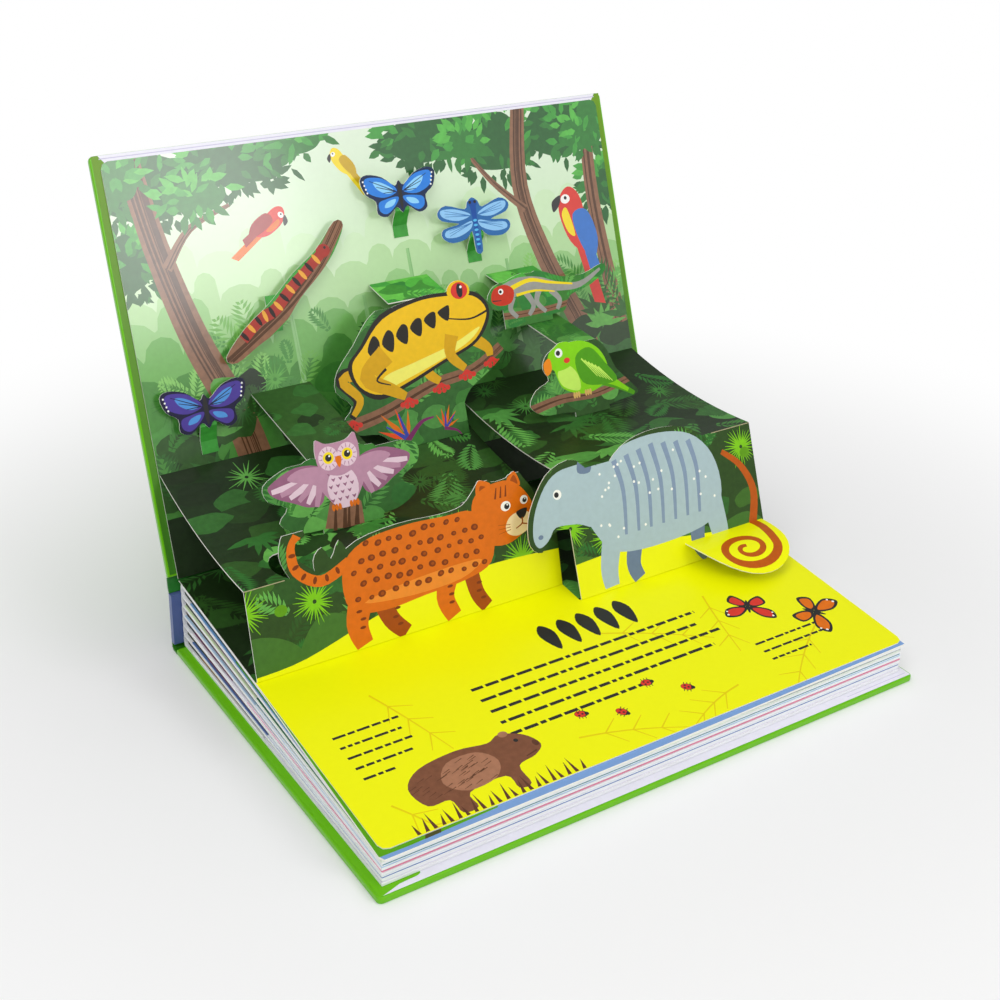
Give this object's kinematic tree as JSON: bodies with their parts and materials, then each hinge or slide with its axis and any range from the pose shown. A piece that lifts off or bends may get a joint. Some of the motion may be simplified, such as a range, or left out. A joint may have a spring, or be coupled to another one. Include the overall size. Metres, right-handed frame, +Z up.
{
  "type": "pop up book",
  "caption": "Hardcover pop-up picture book, open like a laptop, with a layered jungle scene of folded and die-cut card standing between the pages.",
  "frame": {"origin": "centre of the lower cover's underside", "axes": "+X along the spine, -Y from the spine to the fore edge, +Z up from the lower cover"},
  "size_m": [0.24, 0.2255, 0.1888],
  "materials": {
    "cover_wrap": "gloss laminated",
    "spine_wrap": "gloss laminated",
    "page_card": "cut edges, matt",
    "yellow_print": "coated, satin",
    "scene_print": "coated, gloss",
    "jungle_print": "coated, gloss",
    "figure_print": "coated, satin"
  },
  "bodies": {
    "book_block": {"lower_cover": "cover_wrap", "spine": "spine_wrap", "page_block": "page_card", "front_leaf": "yellow_print", "upper_joint": "spine_wrap", "left_stage": "jungle_print", "right_stage": "jungle_print", "owl_panel": "figure_print", "frog_panel": "figure_print", "parakeet_panel": "figure_print", "lizard_panel": "figure_print"},
    "upper_cover": {"upper_cover": "cover_wrap", "back_leaf": "scene_print", "blue_moth": "figure_print", "dragonfly": "figure_print", "violet_moth": "figure_print", "larva_branch": "figure_print"}
  },
  "joints": [
    {"name": "upper_cover_hinge", "type": "hinge", "parent": "book_block", "child": "upper_cover", "pos_m": [0, 0.0827, 0.0319], "axis": [1, 0, 0], "range_deg": [-70.75, 109.25], "deforming": ["upper_joint", "left_stage", "right_stage", "owl_panel", "frog_panel", "parakeet_panel", "lizard_panel"]}
  ]
}
